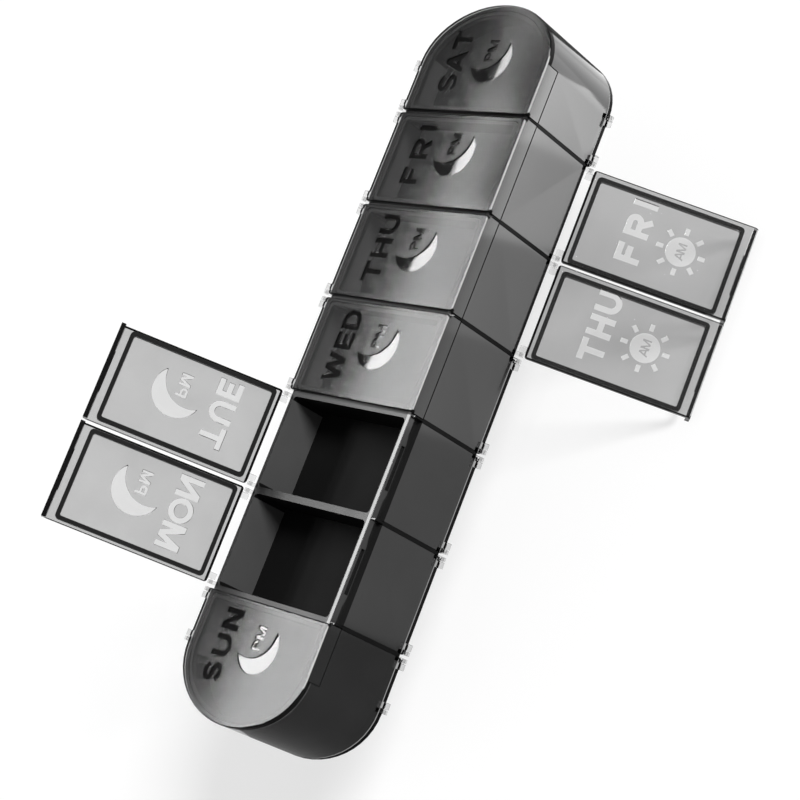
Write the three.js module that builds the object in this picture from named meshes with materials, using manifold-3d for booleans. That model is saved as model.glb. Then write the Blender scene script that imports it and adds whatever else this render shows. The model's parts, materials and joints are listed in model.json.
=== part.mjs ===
// A two-sided weekly pill box: one moulded case with a row of compartments on each face,
// a hinged snap lid on every compartment, and a rubber seal ring inside every lid.
// Millimetres. Y runs along the week, X across the case, and +Z points out of the evening face.
// The origin is the middle of the closed morning lid of the middle day, on its outer face.

import * as THREE from 'three';
import { mergeVertices } from 'three/addons/utils/BufferGeometryUtils.js';
import Module from 'manifold-3d';

const wasm = await Module();
wasm.setup();

// The week, from the low end of Y to the high end.
const days = ['sun', 'mon', 'tue', 'wed', 'thu', 'fri', 'sat'];

// Case.
const dayPitch = 30;
const caseWidth = 49.5;
const caseDepth = 32;
const endStraight = 16.5;
const endCrown = 18.7;
const sideWall = 1.2;
const dividerWall = 2;
const middleFloor = 1.6;
const pocketCorner = 1.2;
const notchWidth = 1.25;
const notchDepth = 1;

// Lids.
const lidPlate = 1.6;
const lidSpacing = 1;
const lidCorner = 0.8;
const seatGap = 0.3;

// Snap clasp at the free edge of a lid, and the catch that it closes over.
const claspThickness = 1.3;
const claspDrop = 5;
const claspPlay = 0.3;
const claspFootGap = 0.4;
const catchWall = 1.5;
const latchLengthShare = 0.43;
const latchHeight = 0.8;
const latchProud = 0.2;
const latchFoot = 1.1;
const catchDepth = 0.6;
const catchPlay = 0.3;

// Hinge: two short knuckles on the lid, each with a pin that turns in an ear on the case.
const knuckleRadius = 0.9;
const knuckleLength = 1.8;
const pinRadius = 0.35;
const pinPlay = 0.2;
const earWall = 0.35;
const earWidth = 1.1;
const hingePlay = 0.3;

// Seal ring inside a lid.
const sealWidth = 1.2;
const sealHeight = 2.2;
const sealPlay = 0.35;

// How far each lid stands open, in degrees; the lids left out are closed.
const openAngles = { pm_mon: 130, pm_tue: 130, am_thu: 140, am_fri: 140 };

// Every cut and every joined block runs past or into its neighbour by this much.
const overrun = 0.5;

// Facets of the curved stretches.
const crownSteps = 24;
const cornerSteps = 3;
const notchSteps = 6;
const knuckleSteps = 16;
const eyeSteps = 12;
const pinSteps = 8;

// Places that follow from the sizes above.
const halfWidth = caseWidth / 2;
const caseRim = caseDepth - lidPlate - seatGap;
const middle = caseDepth / 2;
const claspWall = claspThickness + claspPlay + catchWall;
const claspFoot = caseDepth - claspDrop;
const earRadius = pinRadius + pinPlay + earWall;
const hingeReach = Math.max(knuckleRadius, earRadius) + hingePlay;
const axisHeight = caseDepth - knuckleRadius;
const lidInset = lidSpacing / 2;
const lastDay = days.length - 1;

const materials = {
  case: { color: 0x2e2f31, roughness: 0.18, metalness: 0 },
  lid: { color: 0x3a3b3d, roughness: 0.42, metalness: 0 },
  seal: { color: 0x0b0b0c, roughness: 0.7, metalness: 0 },
};

// Solid from a closed three.js geometry, with its shared vertices merged.
function solidOf(geometry) {
  const plain = geometry.index ? geometry.clone() : geometry;
  plain.deleteAttribute('normal');
  plain.deleteAttribute('uv');
  const merged = mergeVertices(plain);
  const mesh = new wasm.Mesh({
    numProp: 3,
    vertProperties: new Float32Array(merged.attributes.position.array),
    triVerts: new Uint32Array(merged.index.array),
  });
  return new wasm.Manifold(mesh);
}

// Named mesh from a solid.
function meshOf(name, solid, look) {
  const result = solid.getMesh();
  const geometry = new THREE.BufferGeometry();
  geometry.setAttribute('position', new THREE.BufferAttribute(result.vertProperties, 3));
  geometry.setIndex(new THREE.BufferAttribute(result.triVerts, 1));
  geometry.computeVertexNormals();
  const mesh = new THREE.Mesh(geometry, new THREE.MeshStandardMaterial(look));
  mesh.name = name;
  return mesh;
}

// Block between two corners.
function block(low, high) {
  const size = high.map((value, i) => value - low[i]);
  const geometry = new THREE.BoxGeometry(...size);
  geometry.translate(...high.map((value, i) => (value + low[i]) / 2));
  return solidOf(geometry);
}

// Plan outline raised from one height to another.
function prism(points, low, high, hole) {
  const shape = new THREE.Shape(points);
  if (hole) {
    shape.holes.push(new THREE.Path(hole));
  }
  const geometry = new THREE.ExtrudeGeometry(shape, { depth: high - low, bevelEnabled: false });
  geometry.translate(0, 0, low);
  return solidOf(geometry);
}

// Outline in the X and Z plane, pulled along Y from one place to another.
function bar(points, low, high) {
  const shape = new THREE.Shape(points);
  const geometry = new THREE.ExtrudeGeometry(shape, { depth: high - low, bevelEnabled: false });
  geometry.rotateX(Math.PI / 2);
  geometry.translate(0, high, 0);
  return solidOf(geometry);
}

// Round rod along Y.
function rod(radius, low, high, x, z, steps) {
  const geometry = new THREE.CylinderGeometry(radius, radius, high - low, steps);
  geometry.translate(x, (low + high) / 2, z);
  return solidOf(geometry);
}

function arc(x, y, radiusX, radiusY, from, to, steps) {
  const curve = new THREE.EllipseCurve(x, y, radiusX, radiusY, from, to);
  return curve.getPoints(steps);
}

// Plan outline of one pod-sized piece. It runs from x0 to x1 and from y0 to y1, with small round
// corners. With a crown, the end at y1 swells out into the case's rounded end. Side -1 mirrors
// the outline in Y, for the first day.
function podPlan({ x0, x1, y0, y1, corner, crown, side }) {
  const turn = Math.PI / 2;
  const points = [
    ...arc(x0 + corner, y0 + corner, corner, corner, -2 * turn, -turn, cornerSteps),
    ...arc(x1 - corner, y0 + corner, corner, corner, -turn, 0, cornerSteps),
  ];
  if (crown) {
    points.push(...arc((x0 + x1) / 2, y1, (x1 - x0) / 2, crown, 0, 2 * turn, crownSteps));
  } else {
    points.push(...arc(x1 - corner, y1 - corner, corner, corner, 0, turn, cornerSteps));
    points.push(...arc(x0 + corner, y1 - corner, corner, corner, turn, 2 * turn, cornerSteps));
  }
  return side < 0 ? points.map((p) => new THREE.Vector2(p.x, -p.y)).reverse() : points;
}

// Where a day's pod lies. Y is measured from the pod's foot, which is the boundary with the next
// day on an end pod and the pod's middle elsewhere; side is 0 for the pods between the ends.
function podOf(index) {
  const boundary = (index - lastDay / 2) * dayPitch;
  if (index === 0) {
    return { foot: boundary + dayPitch / 2, side: -1, low: 0, high: endStraight };
  }
  if (index === lastDay) {
    return { foot: boundary - dayPitch / 2, side: 1, low: 0, high: endStraight };
  }
  return { foot: boundary, side: 0, low: -dayPitch / 2, high: dayPitch / 2 };
}

// Plan of a piece that is drawn in from the pod's edges: the X limits are given, and the inset
// is kept from each straight end and from the round one.
function insetPlan(pod, x0, x1, inset, endInset, corner) {
  const crown = pod.side ? endCrown - endInset : 0;
  const high = pod.side ? pod.high : pod.high - inset;
  return podPlan({ x0, x1, y0: pod.low + inset, y1: high, corner, crown, side: pod.side });
}

// Straight stretch along Y of a piece on the pod's long side, with its ends drawn in.
function straightRun(pod, inset) {
  const low = pod.low + inset;
  const high = pod.high - (pod.side ? 0 : inset);
  return pod.side < 0 ? [-high, -low] : [low, high];
}

// Place along Y of the latch ridge, in the middle of the clasp strip.
function latchRun(pod) {
  const [low, high] = straightRun(pod, lidInset);
  const centre = (low + high) / 2;
  const half = ((high - low) * latchLengthShare) / 2;
  return [centre - half, centre + half];
}

// Places along Y of the two ears that carry a lid.
function earRuns(pod) {
  const [low, high] = straightRun(pod, lidInset);
  return [[low, low + earWidth], [high - earWidth, high]];
}

// Evening half of one pod's features on the case, in the pod's own place along Y.
// The morning half is the same, turned half round about the case's long axis.
function pocketCuts(pod) {
  const left = -halfWidth + sideWall;
  const right = halfWidth - claspWall;
  const plan = insetPlan(pod, left, right, dividerWall / 2, sideWall, pocketCorner);
  const pocket = prism(plan, middle + middleFloor / 2, caseDepth);

  const [low, high] = straightRun(pod, lidInset);
  const recessFace = halfWidth - claspThickness - claspPlay;
  const recess = block(
    [recessFace, low - claspPlay, claspFoot - claspFootGap],
    [halfWidth + overrun, high + claspPlay, caseDepth],
  );

  const [latchLow, latchHigh] = latchRun(pod);
  const slotFoot = claspFoot + latchFoot - catchPlay;
  const slot = block(
    [recessFace - catchDepth, latchLow - catchPlay, slotFoot],
    [recessFace + overrun, latchHigh + catchPlay, slotFoot + latchHeight + 2 * catchPlay],
  );
  return pocket.add(recess).add(slot);
}

// Ears on the hinge side of one pod: a round eye on a gusset that slopes into the wall.
function hingeEars(pod) {
  const axisX = -halfWidth - hingeReach;
  const slope = earRadius * Math.SQRT1_2;
  const rootX = -halfWidth + sideWall / 2;
  const gusset = [
    new THREE.Vector2(axisX, axisHeight),
    new THREE.Vector2(axisX - slope, axisHeight - slope),
    new THREE.Vector2(rootX, axisHeight - 2 * slope - (rootX - axisX)),
    new THREE.Vector2(rootX, caseRim),
    new THREE.Vector2(-halfWidth, caseRim),
  ];
  let ears = null;
  for (const [low, high] of earRuns(pod)) {
    const eye = rod(earRadius, low, high, axisX, axisHeight, eyeSteps);
    const bore = rod(pinRadius + pinPlay, low - overrun, high + overrun, axisX, axisHeight, pinSteps);
    const arm = bar(gusset, low, high);
    const ear = eye.add(arm).subtract(bore);
    ears = ears ? ears.add(ear) : ear;
  }
  return ears;
}

// Half a turn about the case's long axis, which carries the evening face to the morning face.
function overTurn(solid) {
  return solid.rotate([0, 180, 0]).translate([0, 0, caseDepth]);
}

function caseSolid() {
  const first = podOf(0);
  const last = podOf(lastDay);
  const outline = [
    ...arc(0, first.foot - first.high, halfWidth, endCrown, -Math.PI, 0, crownSteps),
    ...arc(0, last.foot + last.high, halfWidth, endCrown, 0, Math.PI, crownSteps),
  ];
  let body = prism(outline, caseDepth - caseRim, caseRim);

  // Rounded notches down both long sides, between the pods.
  for (let index = 0; index < lastDay; index += 1) {
    const boundary = (index + 1 / 2 - lastDay / 2) * dayPitch;
    const radius = notchWidth / 2;
    for (const side of [-1, 1]) {
      const bottom = side * (halfWidth - notchDepth + radius);
      const mouth = side * (halfWidth + overrun);
      const turn = (side * Math.PI) / 2;
      const points = [
        new THREE.Vector2(mouth, boundary - side * radius),
        ...arc(bottom, boundary, radius, radius, -turn, -turn - Math.PI, notchSteps),
        new THREE.Vector2(mouth, boundary + side * radius),
      ];
      body = body.subtract(prism(points, 0, caseDepth));
    }
  }

  for (let index = 0; index <= lastDay; index += 1) {
    const pod = podOf(index);
    const cuts = pocketCuts(pod);
    const ears = hingeEars(pod);
    for (const turned of [false, true]) {
      const cut = turned ? overTurn(cuts) : cuts;
      const ear = turned ? overTurn(ears) : ears;
      body = body.subtract(cut.translate([0, pod.foot, 0]));
      body = body.add(ear.translate([0, pod.foot, 0]));
    }
  }
  return body;
}

// One lid, closed, measured from its hinge axis: X runs to the clasp and +Z out of the case.
function lidSolid(pod) {
  const near = hingeReach;
  const far = hingeReach + caseWidth;
  const top = knuckleRadius;
  const under = top - lidPlate;
  const plan = insetPlan(pod, near, far, lidInset, 0, lidCorner);
  const plate = prism(plan, under, top);

  const [low, high] = straightRun(pod, lidInset);
  const strip = block([far - claspThickness, low, top - claspDrop], [far, high, under + overrun]);

  const inner = far - claspThickness;
  const foot = top - claspDrop + latchFoot;
  const ridge = bar(
    [
      new THREE.Vector2(inner + overrun, foot),
      new THREE.Vector2(inner, foot),
      new THREE.Vector2(inner - latchProud, foot + latchHeight / 2),
      new THREE.Vector2(inner, foot + latchHeight),
      new THREE.Vector2(inner + overrun, foot + latchHeight),
    ],
    ...latchRun(pod),
  );

  const inset = earWidth + hingePlay;
  const reach = inset + knuckleLength;
  let lid = plate.add(strip).add(ridge);
  for (const [from, to] of [[low + inset, low + reach], [high - reach, high - inset]]) {
    const web = block([0, from, under], [near + overrun, to, top]);
    lid = lid.add(rod(knuckleRadius, from, to, 0, 0, knuckleSteps)).add(web);
  }
  for (const [from, to] of [[low, low + reach - overrun], [high - reach + overrun, high]]) {
    lid = lid.add(rod(pinRadius, from, to, 0, 0, pinSteps));
  }
  return lid;
}

// The seal ring of one lid, in the lid's own place: it plugs the mouth of the compartment.
function sealSolid(pod) {
  const x0 = hingeReach + sideWall + sealPlay;
  const x1 = hingeReach + caseWidth - claspWall - sealPlay;
  const inset = dividerWall / 2 + sealPlay;
  const endInset = sideWall + sealPlay;
  const outer = insetPlan(pod, x0, x1, inset, endInset, pocketCorner);
  const w = sealWidth;
  const innerCorner = pocketCorner / 2;
  const inner = insetPlan(pod, x0 + w, x1 - w, inset + w, endInset + w, innerCorner);
  const seat = knuckleRadius - lidPlate - seatGap;
  return prism(outer, seat - sealHeight, seat, inner);
}

const pillBox = new THREE.Group();
pillBox.add(meshOf('case', caseSolid(), materials.case));

for (const half of ['pm', 'am']) {
  const morning = half === 'am';
  for (const [index, day] of days.entries()) {
    const pod = podOf(index);
    const opened = THREE.MathUtils.degToRad(openAngles[`${half}_${day}`] ?? 0);
    const hinge = new THREE.Group();
    hinge.position.set(
      (morning ? 1 : -1) * (halfWidth + hingeReach),
      pod.foot,
      morning ? knuckleRadius : axisHeight,
    );
    hinge.rotation.y = (morning ? Math.PI : 0) - opened;
    hinge.add(meshOf(`${half}_lid_${day}`, lidSolid(pod), materials.lid));
    hinge.add(meshOf(`${half}_seal_${day}`, sealSolid(pod), materials.seal));
    pillBox.add(hinge);
  }
}

export default pillBox;
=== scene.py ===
# Looks of the two-sided weekly pill box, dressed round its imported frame. Metres.
import json
import math

import bmesh
import bpy
from mathutils import Matrix, Vector


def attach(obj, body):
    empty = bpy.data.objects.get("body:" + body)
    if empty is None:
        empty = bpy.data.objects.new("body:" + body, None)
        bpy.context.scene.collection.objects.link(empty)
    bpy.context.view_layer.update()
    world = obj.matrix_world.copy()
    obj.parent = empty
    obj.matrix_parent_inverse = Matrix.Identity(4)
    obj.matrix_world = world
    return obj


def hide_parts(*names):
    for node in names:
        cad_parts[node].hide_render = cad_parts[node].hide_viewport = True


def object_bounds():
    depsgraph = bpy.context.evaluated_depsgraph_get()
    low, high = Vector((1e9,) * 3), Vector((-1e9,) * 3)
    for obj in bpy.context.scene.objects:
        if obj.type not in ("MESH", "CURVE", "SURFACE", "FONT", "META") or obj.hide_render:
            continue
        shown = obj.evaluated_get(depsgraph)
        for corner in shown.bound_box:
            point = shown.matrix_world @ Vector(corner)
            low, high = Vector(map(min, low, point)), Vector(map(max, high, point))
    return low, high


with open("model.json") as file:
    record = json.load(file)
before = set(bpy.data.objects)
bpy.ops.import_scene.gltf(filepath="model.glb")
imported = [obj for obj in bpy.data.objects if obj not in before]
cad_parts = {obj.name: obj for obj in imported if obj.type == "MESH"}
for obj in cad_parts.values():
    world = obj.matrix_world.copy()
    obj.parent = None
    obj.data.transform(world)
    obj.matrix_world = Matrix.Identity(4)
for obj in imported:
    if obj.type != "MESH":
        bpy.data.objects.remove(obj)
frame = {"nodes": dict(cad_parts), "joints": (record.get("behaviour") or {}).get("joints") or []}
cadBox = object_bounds()
mm = 0.001
days = ("sun", "mon", "tue", "wed", "thu", "fri", "sat")
halves = ("pm", "am")
dayPitch = 30 * mm
squareOn = 0.99                   # a face with this much of its normal along an axis faces that way
mergeWithin = 0.002 * mm          # points closer than this become one
flatWithin = math.radians(1.0)    # faces that turn by less than this become one
scene = bpy.context.scene
scene.view_settings.view_transform = "Standard"
print("frame loaded:", len(frame["nodes"]), "CAD nodes")


def podMiddle(day):
    return (days.index(day) - (len(days) - 1) / 2) * dayPitch


# Camera, at the photograph's viewing angle

photoCamera = {
    "place": (0.4136, -0.1174, 0.4223),
    "right": (0.70323805, 0.35804926, -0.61421248),
    "up": (-0.13262813, 0.91482981, 0.38143964),
    "back": (0.69847407, -0.18678102, 0.69083053),
    "lens": 93.62,
    "sensor": 36.0,
    "clip": (0.01, 20.0),
}


def makeCamera(settings):
    data = bpy.data.cameras.new("photoCamera")
    data.lens = settings["lens"]
    data.sensor_width = settings["sensor"]
    data.clip_start, data.clip_end = settings["clip"]
    camera = bpy.data.objects.new("photoCamera", data)
    turn = Matrix((settings["right"], settings["up"], settings["back"])).transposed()
    camera.matrix_world = Matrix.Translation(settings["place"]) @ turn.to_4x4()
    scene.collection.objects.link(camera)
    scene.camera = camera


makeCamera(photoCamera)
print("camera placed")


# Node helpers

def greyOf(level):
    return (level, level, level, 1.0)


def newMaterial(name):
    material = bpy.data.materials.new(name)
    material.use_nodes = True
    tree = material.node_tree
    tree.nodes.clear()
    output = tree.nodes.new("ShaderNodeOutputMaterial")
    output.location = (800, 0)
    return material, tree, output


def addNode(tree, kind, spot, **inputs):
    node = tree.nodes.new(kind)
    node.location = spot
    for key, value in inputs.items():
        node.inputs[key].default_value = value
    return node


def addMath(tree, operation, spot, first, second):
    node = addNode(tree, "ShaderNodeMath", spot)
    node.operation = operation
    tree.links.new(first, node.inputs[0])
    tree.links.new(second, node.inputs[1])
    return node.outputs["Value"]


def addShaderMix(tree, spot, share, first, second):
    node = addNode(tree, "ShaderNodeMixShader", spot)
    tree.links.new(share, node.inputs["Fac"])
    tree.links.new(first, node.inputs[1])
    tree.links.new(second, node.inputs[2])
    return node.outputs["Shader"]


# Moulded surface, used by every plastic and the rubber: a fine grain for the bump, and a soft
# cloud that varies the tint and the gloss from place to place.

mouldedSurface = {
    "grain": {"Detail": 3.0, "Roughness": 0.6},
    "cloud": {"Detail": 2.0, "Roughness": 0.5},
}


def makeGrainGroup(settings):
    group = bpy.data.node_groups.new("mouldedSurface", "ShaderNodeTree")
    for name in ("Grain per Metre", "Cloud per Metre"):
        group.interface.new_socket(name, in_out="INPUT", socket_type="NodeSocketFloat")
    for name in ("Height", "Cloud"):
        group.interface.new_socket(name, in_out="OUTPUT", socket_type="NodeSocketFloat")
    start = addNode(group, "NodeGroupInput", (-600, 0))
    end = addNode(group, "NodeGroupOutput", (400, 0))
    place = addNode(group, "ShaderNodeTexCoord", (-600, -200))
    grain = addNode(group, "ShaderNodeTexNoise", (-200, 100), **settings["grain"])
    cloud = addNode(group, "ShaderNodeTexNoise", (-200, -200), **settings["cloud"])
    for texture, rate in ((grain, "Grain per Metre"), (cloud, "Cloud per Metre")):
        group.links.new(place.outputs["Object"], texture.inputs["Vector"])
        group.links.new(start.outputs[rate], texture.inputs["Scale"])
    group.links.new(grain.outputs["Fac"], end.inputs["Height"])
    group.links.new(cloud.outputs["Fac"], end.inputs["Cloud"])
    return group


grainGroup = makeGrainGroup(mouldedSurface)


def makePlastic(name, settings):
    material, tree, output = newMaterial(name)
    shader = addNode(tree, "ShaderNodeBsdfPrincipled", (450, 0), **settings["shader"])
    tree.links.new(shader.outputs["BSDF"], output.inputs["Surface"])

    grain = tree.nodes.new("ShaderNodeGroup")
    grain.node_tree = grainGroup
    grain.location = (-300, 0)
    grain.inputs["Grain per Metre"].default_value = settings["grainPerMetre"]
    grain.inputs["Cloud per Metre"].default_value = settings["cloudPerMetre"]

    bump = addNode(tree, "ShaderNodeBump", (100, -300))
    bump.inputs["Strength"].default_value = settings["bumpStrength"]
    bump.inputs["Distance"].default_value = settings["bumpHeight"]
    tree.links.new(grain.outputs["Height"], bump.inputs["Height"])
    tree.links.new(bump.outputs["Normal"], shader.inputs["Normal"])

    rough = addNode(tree, "ShaderNodeMapRange", (100, -50))
    rough.inputs["To Min"].default_value = settings["roughness"][0]
    rough.inputs["To Max"].default_value = settings["roughness"][1]
    tree.links.new(grain.outputs["Cloud"], rough.inputs["Value"])
    tree.links.new(rough.outputs["Result"], shader.inputs["Roughness"])

    tint = tree.nodes.new("ShaderNodeMix")
    tint.location = (100, 250)
    tint.data_type = "RGBA"
    tint.inputs[6].default_value = settings["tints"][0]    # 6, 7 and output 2 are its colours
    tint.inputs[7].default_value = settings["tints"][1]
    tree.links.new(grain.outputs["Cloud"], tint.inputs[0])
    tree.links.new(tint.outputs[2], shader.inputs["Base Color"])
    return material


# Smoke-black case: its outer faces, its compartments (painted shade: a darker tint and almost no gloss),
# the hinge walls inside them (painted light: a much lighter tint), and its rims
casePlastic = {
    "shader": {"IOR": 1.5, "Transmission Weight": 0.0, "Specular IOR Level": 0.42},
    "grainPerMetre": 900.0,
    "cloudPerMetre": 60.0,
    "bumpStrength": 0.05,
    "bumpHeight": 0.05 * mm,
    "roughness": (0.08, 0.16),
    "tints": (greyOf(0.008), greyOf(0.016)),
}
# Compartments: the case's plastic with a darker tint and almost no gloss, painted shade inside the
# recesses
shadedPocketPlastic = {
    **casePlastic,
    "shader": {"IOR": 1.5, "Transmission Weight": 0.0, "Specular IOR Level": 0.03},
    "roughness": (0.3, 0.45),
    "tints": (greyOf(0.005), greyOf(0.008)),
}
# Hinge walls inside the compartments: the same plastic tinted about ten times lighter, painted light
# where these walls face the light
paintedLightPlastic = {**shadedPocketPlastic, "tints": (greyOf(0.06), greyOf(0.085))}
rimPlastic = {
    **casePlastic,
    "shader": {"IOR": 1.5, "Transmission Weight": 0.0, "Specular IOR Level": 0.22},
    "roughness": (0.12, 0.3),
}

# See-through lids: frosted outside, smooth inside, and polished where the marks are cut
frostedPlastic = {
    "shader": {"IOR": 1.31, "Transmission Weight": 0.97},
    "grainPerMetre": 1200.0,
    "cloudPerMetre": 80.0,
    "bumpStrength": 0.2,
    "bumpHeight": 0.03 * mm,
    "roughness": (0.085, 0.105),
    "tints": (greyOf(0.44), greyOf(0.54)),
}
# Morning lids: the frosted plastic darker on the whole, painted shade; the wider spread of its tint
# varies at random
shadedMorningFrost = {**frostedPlastic, "cloudPerMetre": 30.0, "tints": (greyOf(0.26), greyOf(0.56))}
smoothPlastic = {
    "shader": {"IOR": 1.05, "Transmission Weight": 1.0},
    "grainPerMetre": 900.0,
    "cloudPerMetre": 80.0,
    "bumpStrength": 0.05,
    "bumpHeight": 0.02 * mm,
    "roughness": (0.1, 0.16),
    "tints": (greyOf(0.5), greyOf(0.58)),
}
polishedPlastic = {
    "shader": {"IOR": 1.5, "Transmission Weight": 1.0},
    "grainPerMetre": 400.0,
    "cloudPerMetre": 80.0,
    "bumpStrength": 0.03,
    "bumpHeight": 0.02 * mm,
    "roughness": (0.02, 0.03),
    "tints": (greyOf(0.95), greyOf(0.98)),
}

# Small parts: clear knuckles and ears, lid edges and the grooves between pods painted near black as
# shade, the clasp edge painted light grey as a highlight, and the black seals
thinPlastic = {
    **polishedPlastic,
    "shader": {"IOR": 1.08, "Transmission Weight": 1.0},
    "roughness": (0.08, 0.12),
    "tints": (greyOf(0.75), greyOf(0.85)),
}
# Lid edges and the grooves between pods: near black and almost without reflection, painted shade
shadedEdgePlastic = {
    "shader": {"IOR": 1.08, "Transmission Weight": 0.0},
    "grainPerMetre": 900.0,
    "cloudPerMetre": 80.0,
    "bumpStrength": 0.03,
    "bumpHeight": 0.02 * mm,
    "roughness": (0.1, 0.16),
    "tints": (greyOf(0.004), greyOf(0.009)),
}
# Clasp edge of each lid: opaque light grey, a painted highlight
paintedHighlightEdge = {**shadedEdgePlastic, "tints": (greyOf(0.3), greyOf(0.45))}
sealRubber = {
    "shader": {"IOR": 1.45},
    "grainPerMetre": 1800.0,
    "cloudPerMetre": 90.0,
    "bumpStrength": 0.3,
    "bumpHeight": 0.03 * mm,
    "roughness": (0.45, 0.6),
    "tints": (greyOf(0.006), greyOf(0.012)),
}
caseLook = makePlastic("smokeCase", casePlastic)
shadedPocketLook = makePlastic("paintedShadePocket", shadedPocketPlastic)
paintedLightLook = makePlastic("paintedLightWall", paintedLightPlastic)
rimLook = makePlastic("dividerRim", rimPlastic)
thinLook = makePlastic("thinHinge", thinPlastic)
frostedLooks = {
    "pm": makePlastic("frostedLid", frostedPlastic),
    # darker copy for the morning lids, painted shade
    "am": makePlastic("paintedShadeMorningLid", shadedMorningFrost),
}
smoothLook = makePlastic("smoothLid", smoothPlastic)
polishedLook = makePlastic("polishedLetters", polishedPlastic)
shadedEdgeLook = makePlastic("paintedShadeEdge", shadedEdgePlastic)
highlightEdgeLook = makePlastic("paintedHighlightEdge", paintedHighlightEdge)
rubberLook = makePlastic("sealRubber", sealRubber)
print("materials made")


# Letterforms: every letter is a few strokes in a box as high as the letters. A stroke is a line
# of points (across the letter, up the letter), and a slanted one is cut level at both ends.

letterWidths = {
    "S": 0.80, "U": 0.88, "N": 0.86, "M": 1.06, "O": 1.03, "T": 0.88, "E": 0.70, "W": 1.28,
    "D": 0.86, "H": 0.84, "F": 0.74, "R": 0.90, "I": 0.22, "A": 0.97, "P": 0.80,
}
letterShape = {
    "arcSteps": 10,
    "leanThick": 1.12,         # a slanted stroke, measured level, for an upright one of 1
    "barInset": 0.2,           # crossbar of the A
    "barHeight": 0.3,
    "dipInset": 0.27,          # feet of the W
    "upperArc": (25, 270),     # bows of the S, in degrees
    "lowerArc": (90, -155),
    "sharpestMitre": 0.3,      # keeps the corners of a bent stroke from growing too long
}


def arcOf(across, up, radiusAcross, radiusUp, start, end, steps=letterShape["arcSteps"]):
    points = []
    for step in range(steps + 1):
        angle = math.radians(start + (end - start) * step / steps)
        points.append((across + radiusAcross * math.cos(angle), up + radiusUp * math.sin(angle)))
    return points


def line(*points):
    return {"points": list(points)}


def ringOf(*points):
    return {"points": list(points), "closed": True}


def strokesOf(letter, high, thick, form=letterShape):
    wide = letterWidths[letter] * high
    half = thick / 2
    leanHalf = thick * form["leanThick"] / 2
    left, right = half, wide - half
    foot, top = half, high - half
    centre, middle = wide / 2, high / 2
    leftStem = line((left, 0), (left, high))
    rightStem = line((right, 0), (right, high))

    def lean(topAt, footAt):
        return {"points": [(topAt, high), (footAt, 0)], "level": True}

    if letter == "I":
        return [line((centre, 0), (centre, high))]
    if letter == "H":
        return [leftStem, rightStem, line((left, middle), (right, middle))]
    if letter == "T":
        return [line((0, top), (wide, top)), line((centre, 0), (centre, top))]
    if letter in "EF":
        foots = [(left, foot), (wide, foot)] if letter == "E" else [(left, 0)]
        arm = line((left, middle), (wide - thick / 3, middle))
        return [line((wide, top), (left, top), *foots), arm]
    if letter == "U":
        bowl = right - centre
        curve = arcOf(centre, foot + bowl, bowl, bowl, 180, 360)
        return [line((left, high), *curve, (right, high))]
    if letter == "O":
        curve = arcOf(centre, middle, right - centre, top - middle, 0, 360, 2 * form["arcSteps"])
        return [ringOf(*curve[:-1])]
    if letter == "D":
        bow = (top - foot) / 2
        curve = arcOf(right - bow, middle, bow, bow, 90, -90)
        return [ringOf((left, foot), (left, top), *curve)]
    if letter in "PR":
        bow = (top - middle + half / 2) / 2
        curve = arcOf(right - bow, top - bow, bow, bow, 90, -90)
        strokes = [leftStem, line((left, top), *curve, (left, top - 2 * bow))]
        if letter == "R":
            strokes.append(line((centre, top - 2 * bow), (right - half / 3, 0)))
        return strokes
    if letter == "N":
        return [leftStem, rightStem, lean(leanHalf, wide - leanHalf)]
    if letter == "M":
        return [leftStem, rightStem, lean(leanHalf, centre), lean(wide - leanHalf, centre)]
    if letter == "A":
        inset = wide * form["barInset"]
        up = high * form["barHeight"]
        bar = line((inset, up), (wide - inset, up))
        return [lean(centre, leanHalf), lean(centre, wide - leanHalf), bar]
    if letter == "W":
        dip = wide * form["dipInset"]
        legs = [lean(leanHalf, dip), lean(centre, dip)]
        return legs + [lean(centre, wide - dip), lean(wide - leanHalf, wide - dip)]
    bow = (top - foot) / 4
    upper = arcOf(centre, top - bow, right - centre, bow, *form["upperArc"])
    lower = arcOf(centre, foot + bow, right - centre, bow, *form["lowerArc"])
    return [line(*upper, *lower[1:])]


# Both sides of a stroke, as pairs of points. It is grown a little where the cut flares out.
def ladderOf(stroke, half, grow):
    points = [Vector(point) for point in stroke["points"]]
    closed = stroke.get("closed", False)
    reach = half + grow
    last = len(points) - 1
    rungs = []
    for index, point in enumerate(points):
        steps = []
        if index > 0 or closed:
            steps.append((point - points[index - 1]).normalized())
        if index < last or closed:
            steps.append((points[(index + 1) % len(points)] - point).normalized())
        along = sum(steps, Vector((0, 0))).normalized()
        side = Vector((-along.y, along.x))
        if len(steps) == 2:
            mitre = reach / max(along.dot(steps[0]), letterShape["sharpestMitre"])
            rungs.append((point + side * mitre, point - side * mitre))
            continue
        outward = -along if index == 0 else along
        if stroke.get("level"):
            end = point + outward * (grow / abs(along.y))
            across = Vector((reach / side.x, 0))
            rungs.append((end + across, end - across))
        else:
            end = point + outward * grow
            rungs.append((end + side * reach, end - side * reach))
    return rungs


# Closed solid from one ladder for each height.
def addStroke(shape, ladders, heights, closed=False):
    layers = []
    for ladder, height in zip(ladders, heights):
        layer = []
        for left, right in ladder:
            layer.append((shape.verts.new((*left, height)), shape.verts.new((*right, height))))
        layers.append(layer)
    count = len(layers[0])
    faces = []
    for index in range(count if closed else count - 1):
        following = (index + 1) % count
        for layer in (layers[0], layers[-1]):
            a, b = layer[index], layer[following]
            faces.append((a[0], b[0], b[1], a[1]))
        for upper, lower in zip(layers, layers[1:]):
            for side in (0, 1):
                a, b = upper[index][side], upper[following][side]
                c, d = lower[following][side], lower[index][side]
                faces.append((a, b, c, d))
    if not closed:
        for index in (0, count - 1):
            for upper, lower in zip(layers, layers[1:]):
                a, b = upper[index]
                c, d = lower[index]
                faces.append((a, b, d, c))
    for corners in faces:
        shape.faces.new(corners)


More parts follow.
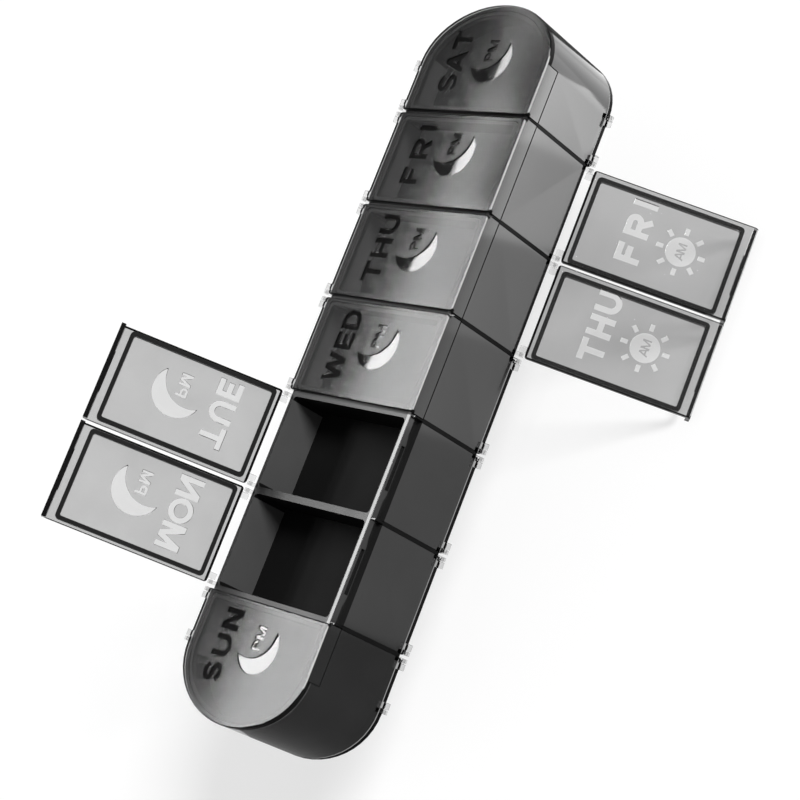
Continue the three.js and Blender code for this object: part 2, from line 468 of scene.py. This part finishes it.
# Marks on the lids. Lengths are millimetres on a lid, with X from the hinge axis to the clasp and
# Y from the pod's middle towards Saturday.

lidMarks = {
    "letterHigh": 7.0,
    "letterThick": 1.5,
    "lettersAt": {"pm": 15.3, "am": 18.4},
    "wordLengths": {
        "sun": 21, "mon": 21.4, "tue": 19.9, "wed": 22, "thu": 21, "fri": 18.7, "sat": 20.2,
    },
    "wordShifts": {
        "sun": 0.5, "mon": 0.8, "tue": 1.4, "wed": 0.8, "thu": 1.4, "fri": 1.2, "sat": 1.7,
    },
    "moonAt": (28.8, 2.6),
    "moonRadius": 7.4,
    "biteRadius": 8.45,
    "biteAt": (-3.4, 4.9),
    "tipShare": 0.985,
    "smallWords": {
        "PM": {"place": (27.8, 5.1), "length": 6.7, "high": 3.3, "thick": 0.62},
        "AM": {"place": (32.1, 0.0), "length": 5.0, "high": 2.6, "thick": 0.45},
    },
    "sunAt": (32.1, 0.0),
    "sunRadius": 4.2,
    "rays": 8,
    "rayFrom": 5.3,
    "rayTo": 7.1,
    "rayThick": 1.0,
    "depth": 0.35,
    "flare": 0.14,
    "flareDepth": 0.12,
    "above": 0.3,
    "roundSteps": 28,
}


# A mark's levels down the cut: how high it is, and how much it is grown there.
def cutLevels(marks):
    return (
        (marks["above"], marks["flare"]),
        (0, marks["flare"]),
        (-marks["flareDepth"], 0),
        (-marks["depth"], 0),
    )


# Adds one mark's solid. The function ladderAt gives the mark's outline, grown by that much.
def addMark(shape, levels, ladderAt, closed=False):
    ladders = [ladderAt(grow) for height, grow in levels]
    addStroke(shape, ladders, [height for height, grow in levels], closed)


def wordStrokes(word, length, high, thick):
    wides = [letterWidths[letter] * high for letter in word]
    gap = (length - sum(wides)) / max(len(word) - 1, 1)
    strokes = []
    at = -length / 2
    for letter, wide in zip(word, wides):
        for stroke in strokesOf(letter, high, thick):
            points = [(at + across, up - high / 2) for across, up in stroke["points"]]
            strokes.append({**stroke, "points": points})
        at += wide + gap
    return strokes


def addWord(shape, word, levels, place, length, high, thick):
    for stroke in wordStrokes(word, length, high, thick):

        def ladderAt(grow):
            ladder = ladderOf(stroke, thick / 2, grow)
            return [tuple((place[0] - p.y, place[1] + p.x) for p in rung) for rung in ladder]

        addMark(shape, levels, ladderAt, stroke.get("closed", False))


def moonLadder(marks, grow):
    outer = marks["moonRadius"] + grow
    inner = marks["biteRadius"] - grow
    centre = Vector(marks["moonAt"])
    bite = Vector(marks["biteAt"])
    apart = bite.length
    belly = math.atan2(-bite.y, -bite.x)
    outerCos = (outer ** 2 + apart ** 2 - inner ** 2) / (2 * outer * apart)
    innerCos = (inner ** 2 + apart ** 2 - outer ** 2) / (2 * inner * apart)
    outerHalf = math.pi - math.acos(outerCos)
    innerHalf = math.acos(innerCos)
    rungs = []
    for step in range(marks["roundSteps"] + 1):
        share = (2 * step / marks["roundSteps"] - 1) * marks["tipShare"]
        a = belly + share * outerHalf
        b = belly + share * innerHalf
        onOuter = centre + Vector((math.cos(a), math.sin(a))) * outer
        onInner = centre + bite + Vector((math.cos(b), math.sin(b))) * inner
        rungs.append((onOuter, onInner))
    return rungs


def discLadder(marks, grow):
    radius = marks["sunRadius"] + grow
    centre = Vector(marks["sunAt"])
    rungs = []
    for step in range(marks["roundSteps"] + 1):
        angle = (step / marks["roundSteps"] - 0.5) * math.pi * marks["tipShare"]
        up = radius * math.sin(angle)
        out = radius * math.cos(angle)
        rungs.append((centre + Vector((-out, up)), centre + Vector((out, up))))
    return rungs


def addRays(shape, marks, levels):
    centre = Vector(marks["sunAt"])
    for ray in range(marks["rays"]):
        angle = 2 * math.pi * ray / marks["rays"]
        out = Vector((math.cos(angle), math.sin(angle)))
        stroke = line(centre + out * marks["rayFrom"], centre + out * marks["rayTo"])
        addMark(shape, levels, lambda grow: ladderOf(stroke, marks["rayThick"] / 2, grow))


# Piece helpers

def solidFrom(name, shape, *looks):
    bmesh.ops.recalc_face_normals(shape, faces=shape.faces)
    mesh = bpy.data.meshes.new(name)
    shape.to_mesh(mesh)
    shape.free()
    for look in looks:
        mesh.materials.append(look)
    piece = bpy.data.objects.new(name, mesh)
    scene.collection.objects.link(piece)
    return piece


# Makes the piece's modifiers part of its mesh.
def settle(piece):
    seen = piece.evaluated_get(bpy.context.evaluated_depsgraph_get())
    settled = bpy.data.meshes.new_from_object(seen)
    piece.modifiers.clear()
    before = piece.data
    piece.data = settled
    bpy.data.meshes.remove(before)


# Cuts one solid out of another for good. The cut faces keep the cutter's own finish.
def carve(piece, cutter):
    cut = piece.modifiers.new("carve", "BOOLEAN")
    cut.operation = "DIFFERENCE"
    cut.solver = "EXACT"
    cut.use_self = True
    cut.material_mode = "TRANSFER"
    cut.object = cutter
    settle(piece)
    cutterMesh = cutter.data
    bpy.data.objects.remove(cutter)
    bpy.data.meshes.remove(cutterMesh)


def smoothPiece(piece, below):
    piece.data.shade_smooth()
    piece.data.set_sharp_from_angle(angle=math.radians(below))


# Splits the faces along a line across the piece, so that each side can have its own finish.
def splitAt(shape, across):
    everything = shape.verts[:] + shape.edges[:] + shape.faces[:]
    bmesh.ops.bisect_plane(shape, geom=everything, plane_co=(across, 0, 0), plane_no=(1, 0, 0))


# Cutter for one lid's marks, in the lid's own millimetres with its outer face at height 0.
def marksCutter(half, day, marks):
    levels = cutLevels(marks)
    shape = bmesh.new()
    place = (marks["lettersAt"][half], marks["wordShifts"][day])
    length = marks["wordLengths"][day]
    addWord(shape, day.upper(), levels, place, length, marks["letterHigh"], marks["letterThick"])
    if half == "pm":
        addMark(shape, levels, lambda grow: moonLadder(marks, grow))
        addWord(shape, "PM", levels, **marks["smallWords"]["PM"])
    else:
        addRays(shape, marks, levels)
    return solidFrom("marksCutter", shape, polishedLook)


# The morning sun's disc, with the small word left standing in it.
def sunCutter(marks):
    disc = bmesh.new()
    addMark(disc, cutLevels(marks), lambda grow: discLadder(marks, grow))
    sun = solidFrom("sunCutter", disc, polishedLook)
    word = bmesh.new()
    through = ((2 * marks["above"], 0), (-2 * marks["depth"], 0))
    addWord(word, "AM", through, **marks["smallWords"]["AM"])
    carve(sun, solidFrom("amCutter", word, polishedLook))
    return sun


# Lids: the CAD solid with rounded edges, a frosted outer face and polished marks cut into it.

lidFinish = {
    "plateDeep": 2.0 * mm,
    "hingeReach": 1.15 * mm,       # from the axis, where the clear knuckles end
    "darkTo": 1.9 * mm,            # from the axis, where the frosted face starts
    "claspFaceArea": 40.0 * mm * mm,
    "claspEdgeTilt": 0.05,
    "claspEdgeSkew": 0.1,
    "plateRound": 0.35 * mm,
    "edgeRound": 0.1 * mm,
    "roundSegments": 3,
    "roundAbove": 60.0,
    "smoothBelow": 12.0,
}


def hingePlace(half, day):
    joint = next(one for one in frame["joints"] if one["child"] == f"{half}_{day}")
    opened = -joint["range_deg"][0]
    facing = 180 if half == "am" else 0
    axis = joint["pos_m"]
    turn = Matrix.Rotation(math.radians(facing - opened), 4, "Y")
    return Matrix.Translation((axis[0], podMiddle(day), axis[2])) @ turn


def plainLid(node, toHinge, finish):
    shape = bmesh.new()
    shape.from_mesh(node.data)
    shape.transform(toHinge)
    bmesh.ops.remove_doubles(shape, verts=shape.verts, dist=mergeWithin)
    bmesh.ops.dissolve_limit(shape, angle_limit=flatWithin, verts=shape.verts, edges=shape.edges)
    shape.normal_update()
    top = max(vertex.co.z for vertex in shape.verts)

    def isTop(face):
        return face.normal.z > squareOn and face.calc_center_median().z > top - finish["edgeRound"]

    rim = []
    for edge in shape.edges:
        if len(edge.link_faces) == 2 and edge.calc_face_angle() > math.radians(finish["roundAbove"]):
            if any(isTop(face) for face in edge.link_faces):
                rim.append(edge)
    bmesh.ops.bevel(
        shape, geom=rim, offset=finish["plateRound"], segments=finish["roundSegments"],
        affect="EDGES", profile=0.5, clamp_overlap=False, loop_slide=True,
    )
    shape.normal_update()
    return shape, top


# The finish of one face of a lid whose outer face is at height top.
def lidFaceKind(face, top, finish):
    normal = face.normal
    middle = face.calc_center_median()
    if middle.x < finish["hingeReach"]:
        return "hinge"
    if normal.z > squareOn and middle.z > top - finish["edgeRound"] and middle.x > finish["darkTo"]:
        return "outside"
    if normal.z < -squareOn and middle.z > top - finish["plateDeep"]:
        return "inside"
    if normal.x > squareOn and face.calc_area() > finish["claspFaceArea"]:
        return "claspFace"
    tilted = min(normal.x, normal.z) > finish["claspEdgeTilt"]
    return "claspEdge" if tilted and abs(normal.y) < finish["claspEdgeSkew"] else "edge"


def makeLid(half, day, finish, marks):
    looks = {
        "inside": smoothLook,
        "outside": frostedLooks[half],
        # lid edges painted near black, painted shade
        "edge": shadedEdgeLook,
        "claspFace": caseLook,
        "hinge": thinLook,
        # clasp edge painted light grey, a painted highlight
        "claspEdge": highlightEdgeLook,
    }
    kinds = list(looks)
    node = frame["nodes"][f"{half}_lid_{day}"]
    toFrame = hingePlace(half, day)
    shape, top = plainLid(node, toFrame.inverted(), finish)
    splitAt(shape, finish["hingeReach"])
    splitAt(shape, finish["darkTo"])
    for face in shape.faces:
        face.material_index = kinds.index(lidFaceKind(face, top, finish))
    shape.transform(Matrix.Translation((0, 0, -top)))
    shape.transform(Matrix.Scale(1 / mm, 4))
    lid = solidFrom(f"{half}_lid_shell_{day}", shape, *looks.values())
    carve(lid, marksCutter(half, day, marks))
    if half == "am":
        carve(lid, sunCutter(marks))
    lid.data.transform(toFrame @ Matrix.Translation((0, 0, top)) @ Matrix.Scale(mm, 4))
    smoothPiece(lid, finish["smoothBelow"])
    lid.visible_shadow = False    # see-through
    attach(lid, f"{half}_{day}")
    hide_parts(node.name)


for half in halves:
    for day in days:
        makeLid(half, day, lidFinish, lidMarks)
    print("lids made:", half)


# Case: the CAD solid with rounded edges, and a look for each kind of face.

caseLooks = {
    "outside": caseLook,
    # painted shade inside the compartments
    "compartment": shadedPocketLook,
    # painted light on the hinge walls
    "hingeWall": paintedLightLook,
    "rim": rimLook,
    "ear": thinLook,
    # grooves between pods painted near black, painted shade
    "notch": shadedEdgeLook,
}
caseFinish = {
    "middleHeight": 16.0 * mm,
    "floorWithin": 1.2 * mm,        # up and down from the middle height
    "rimFrom": 13.9 * mm,
    "wallInside": 23.55 * mm,       # out from the box's middle plane
    "claspRimFrom": 21.85 * mm,
    "wallOutside": 24.8 * mm,
    "slack": 0.3 * mm,
    "notchHalf": 0.7 * mm,          # along the box from the gap between two pods
    "edgeRound": 0.2 * mm,
    "segments": 2,
    "sharpAbove": 40.0,
    "smoothBelow": 12.0,
}


def caseFaceKind(face, finish):
    middle = face.calc_center_median()
    away = abs(middle.z - finish["middleHeight"])
    out = abs(middle.x)
    if out > finish["wallOutside"]:
        return "ear"
    if abs(face.normal.z) > squareOn and away > finish["rimFrom"]:
        onClaspSide = middle.x * (middle.z - finish["middleHeight"]) > 0
        return "outside" if onClaspSide and out > finish["claspRimFrom"] else "rim"
    fromGap = abs(middle.y / dayPitch - math.floor(middle.y / dayPitch) - 0.5) * dayPitch
    isSide = finish["wallInside"] + finish["slack"] < out < finish["wallOutside"]
    lastPod = (len(days) - 1) // 2
    # The grooves between pods take the near-black edge plastic, which is painted shade
    if isSide and fromGap < finish["notchHalf"] and abs(middle.y) < lastPod * dayPitch:
        return "notch"
    # The hinge walls take the lighter tint, which is painted light
    if abs(face.normal.x) > squareOn and abs(out - finish["wallInside"]) < finish["slack"]:
        return "hingeWall"
    pod = min(max(round(middle.y / dayPitch), -lastPod), lastPod) * dayPitch
    inward = middle.x * face.normal.x + (middle.y - pod) * face.normal.y < 0
    isFloor = away < finish["floorWithin"] and out < finish["wallInside"]
    return "compartment" if inward or isFloor else "outside"


def makeCase(finish, looks):
    kinds = list(looks)
    node = frame["nodes"]["case"]
    shape = bmesh.new()
    shape.from_mesh(node.data)
    bmesh.ops.remove_doubles(shape, verts=shape.verts, dist=mergeWithin)
    splitAt(shape, -finish["claspRimFrom"])
    splitAt(shape, finish["claspRimFrom"])
    shape.normal_update()
    for face in shape.faces:
        face.material_index = kinds.index(caseFaceKind(face, finish))
    bmesh.ops.dissolve_limit(
        shape, angle_limit=flatWithin, verts=shape.verts, edges=shape.edges, delimit={"MATERIAL"},
    )
    case = solidFrom("case_shell", shape, *looks.values())
    edge = case.modifiers.new("rounded", "BEVEL")
    edge.width = finish["edgeRound"]
    edge.segments = finish["segments"]
    edge.angle_limit = math.radians(finish["sharpAbove"])
    settle(case)
    smoothPiece(case, finish["smoothBelow"])
    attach(case, "case")
    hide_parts(node.name)


makeCase(caseFinish, caseLooks)
print("case made")


# Seals: the CAD solids, with their edges rounded and their own finish.

sealFinish = {"edgeRound": 0.25 * mm, "segments": 2, "sharpAbove": 40.0, "look": rubberLook}


def finishSeal(node, finish):
    node.data.materials.clear()
    node.data.materials.append(finish["look"])
    weld = node.modifiers.new("weld", "WELD")
    weld.merge_threshold = mergeWithin
    flat = node.modifiers.new("flat", "DECIMATE")
    flat.decimate_type = "DISSOLVE"
    flat.angle_limit = flatWithin
    edge = node.modifiers.new("rounded", "BEVEL")
    edge.width = finish["edgeRound"]
    edge.segments = finish["segments"]
    edge.angle_limit = math.radians(finish["sharpAbove"])
    edge.harden_normals = True


for half in halves:
    for day in days:
        finishSeal(frame["nodes"][f"{half}_seal_{day}"], sealFinish)
print("seals finished")


# Floor and world. Seen directly, through a lid or in a reflection, the floor is for the most part
# a white glow, and otherwise a plain pale surface. The world is white when seen directly or through
# a lid, fades with height in reflections, and sheds a dimmer light on the part.

stageSettings = {
    "floorGap": 0.3 * mm,
    "floorHalf": 6.0,
    "floorColour": 0.9,
    "shownWhite": 0.65,
    "worldDiffuse": 0.4,
    "worldLow": 0.8,
    "worldHigh": 0.12,
    "worldFadeTo": 0.6,
}


def makeSheet(name, corners, height, look):
    (x0, y0), (x1, y1) = corners
    shape = bmesh.new()
    around = ((x0, y0), (x1, y0), (x1, y1), (x0, y1))
    shape.faces.new([shape.verts.new((x, y, height)) for x, y in around])
    return solidFrom(name, shape, look)


def makeFloor(settings):
    material, tree, output = newMaterial("paleFloor")
    lit = addNode(tree, "ShaderNodeBsdfDiffuse", (0, 100), Color=greyOf(settings["floorColour"]))
    white = addNode(tree, "ShaderNodeEmission", (0, -100), Color=greyOf(1.0), Strength=1.0)
    path = addNode(tree, "ShaderNodeLightPath", (-600, 0)).outputs
    seen = addMath(tree, "MAXIMUM", (-400, 0), path["Is Camera Ray"], path["Is Transmission Ray"])
    shown = addMath(tree, "MAXIMUM", (-300, 0), seen, path["Is Glossy Ray"])
    glow = addNode(tree, "ShaderNodeMath", (-200, 0))
    glow.operation = "MULTIPLY"
    glow.inputs[1].default_value = settings["shownWhite"]
    tree.links.new(shown, glow.inputs[0])
    share = glow.outputs["Value"]
    mix = addShaderMix(tree, (300, 0), share, lit.outputs["BSDF"], white.outputs["Emission"])
    tree.links.new(mix, output.inputs["Surface"])
    reach = settings["floorHalf"]
    low = cadBox[0].z - settings["floorGap"]
    floor = makeSheet("floor", ((-reach, -reach), (reach, reach)), low, material)


def makeWorld(settings):
    world = bpy.data.worlds.new("studio")
    scene.world = world
    world.use_nodes = True
    tree = world.node_tree
    tree.nodes.clear()
    output = addNode(tree, "ShaderNodeOutputWorld", (800, 0))
    path = addNode(tree, "ShaderNodeLightPath", (-600, 300)).outputs

    place = addNode(tree, "ShaderNodeTexCoord", (-600, -100))
    split = addNode(tree, "ShaderNodeSeparateXYZ", (-400, -100))
    tree.links.new(place.outputs["Generated"], split.inputs["Vector"])
    fade = addNode(tree, "ShaderNodeMapRange", (-200, -100))
    fade.inputs["From Min"].default_value = 0.0
    fade.inputs["From Max"].default_value = settings["worldFadeTo"]
    fade.inputs["To Min"].default_value = settings["worldLow"]
    fade.inputs["To Max"].default_value = settings["worldHigh"]
    tree.links.new(split.outputs["Z"], fade.inputs["Value"])

    plain, glossy, white = [
        addNode(tree, "ShaderNodeBackground", (100, up), Color=greyOf(1.0), Strength=strength)
        for up, strength in ((200, settings["worldDiffuse"]), (0, 1.0), (-200, 1.0))
    ]
    tree.links.new(fade.outputs["Result"], glossy.inputs["Strength"])
    indirect = addShaderMix(tree, (350, 100), path["Is Glossy Ray"], plain.outputs[0], glossy.outputs[0])
    seen = addMath(tree, "MAXIMUM", (-200, 400), path["Is Camera Ray"], path["Is Transmission Ray"])
    mix = addShaderMix(tree, (550, 0), seen, indirect, white.outputs[0])
    tree.links.new(mix, output.inputs["Surface"])


makeFloor(stageSettings)
makeWorld(stageSettings)
print("floor and world made")


# Painted shadow: dark glowing sheets just above the floor at both ends, seen only in reflections,
# standing in for shade on the floor there.

paintedShadowSheets = {
    "sunday": {
        "corners": ((-0.055, -0.22), (0.12, -0.068)),
        "above": 1.0 * mm,
        "shade": greyOf(0.25),
    },
    "saturday": {
        "corners": ((-0.07, 0.115), (-0.008, 0.2)),
        "above": 1.0 * mm,
        "shade": greyOf(0.1),
    },
}


def showOnlyInReflections(piece):
    piece.visible_camera = False
    piece.visible_diffuse = False
    piece.visible_transmission = False


def makePaintedShadowSheet(end, settings):
    material, tree, output = newMaterial(f"paintedShadowSheet_{end}")
    glow = addNode(tree, "ShaderNodeEmission", (0, 0), Color=settings["shade"], Strength=1.0)
    tree.links.new(glow.outputs["Emission"], output.inputs["Surface"])
    height = cadBox[0].z + settings["above"]
    shadowSheet = makeSheet(f"paintedShadowSheet_{end}", settings["corners"], height, material)
    showOnlyInReflections(shadowSheet)
    shadowSheet.visible_shadow = False


for end, settings in paintedShadowSheets.items():
    makePaintedShadowSheet(end, settings)
print("shadowSheets laid")


# Side light, which no reflection shows

sideLight = {"from": (0.8, 0.55, 0.9), "strength": 3.7, "spread": 21.0}


def makeSideLight(settings):
    data = bpy.data.lights.new("sideLight", "SUN")
    data.energy = settings["strength"]
    data.angle = math.radians(settings["spread"])
    light = bpy.data.objects.new("sideLight", data)
    light.matrix_world = Vector(settings["from"]).to_track_quat("Z", "Y").to_matrix().to_4x4()
    light.visible_glossy = False
    light.visible_transmission = False
    scene.collection.objects.link(light)


# Cards, which only reflections show. Brightness counts in whites. The top cards hang in a row high
# on the evening hinge side, with one straight slanting edge.

topCards = {
    "height": 0.6,
    "edgeAt": -0.6065,
    "slant": 0.055,
    "stretches": (
        {"from": -0.22, "to": 0.205, "wide": 0.13, "brightness": 16.5},
        {"from": 0.205, "to": 0.285, "wide": 0.06, "brightness": 15.0},
        {"from": 0.285, "to": 0.37, "wide": 0.03, "brightness": 15.0},
        {"from": 0.37, "to": 0.46, "wide": 0.018, "brightness": 12.0},
    ),
}


# Facing is 1 for a card that faces up and -1 for one that faces down.
def makeCard(name, place, size, brightness, facing, spin=0.0):
    data = bpy.data.lights.new(name, "AREA")
    data.shape = "RECTANGLE"
    data.size, data.size_y = size
    data.energy = brightness * math.pi * data.size * data.size_y
    card = bpy.data.objects.new(name, data)
    turn = Vector((0, 0, -facing)).to_track_quat("Z", "Y").to_matrix().to_4x4()
    card.matrix_world = Matrix.Translation(place) @ Matrix.Rotation(spin, 4, "Z") @ turn
    showOnlyInReflections(card)
    scene.collection.objects.link(card)


def makeTopCards(settings):
    spin = -math.atan(settings["slant"])
    for index, stretch in enumerate(settings["stretches"]):
        along = (stretch["from"] + stretch["to"]) / 2
        across = settings["edgeAt"] + settings["slant"] * along + stretch["wide"] / 2
        size = (stretch["wide"], stretch["to"] - stretch["from"])
        place = (across, along, settings["height"])
        makeCard(f"topCard_{index + 1}", place, size, stretch["brightness"], -1, spin)


# Low cards just above the floor, with their places in millimetres. Those of the days lie on the
# evening clasp side, where the side of each pod mirrors a stretch of floor a little longer than
# the pod, and those of the crown past the Saturday end.

lowCards = {
    "height": cadBox[0].z + 1.5 * mm,
    "across": (56, 90),
    "brightness": {"wed": 0.9, "thu": 1.8, "fri": 4.4, "sat": 7.3},
    "stretch": 1.12,
    "shift": 14,
    "crown": (
        {"across": (18, 56), "along": (112, 172), "brightness": 1.6},
        {"across": (56, 90), "along": (132, 172), "brightness": 2.5},
        {"across": (-8, 18), "along": (132, 172), "brightness": 1.0},
    ),
}


def makeLowCard(name, height, across, along, brightness):
    size = ((across[1] - across[0]) * mm, (along[1] - along[0]) * mm)
    place = ((across[0] + across[1]) / 2 * mm, (along[0] + along[1]) / 2 * mm, height)
    makeCard(name, place, size, brightness, 1)


def makeLowCards(settings):
    height = settings["height"]
    half = dayPitch / mm / 2
    for day, brightness in settings["brightness"].items():
        middle = podMiddle(day) / mm
        ends = (middle - half, middle + half)
        along = [end * settings["stretch"] + settings["shift"] for end in ends]
        makeLowCard(f"lowCard_{day}", height, settings["across"], along, brightness)
    for index, card in enumerate(settings["crown"]):
        makeLowCard(f"crownCard_{index + 1}", height, **card)


makeSideLight(sideLight)
makeTopCards(topCards)
makeLowCards(lowCards)
print("lights placed")
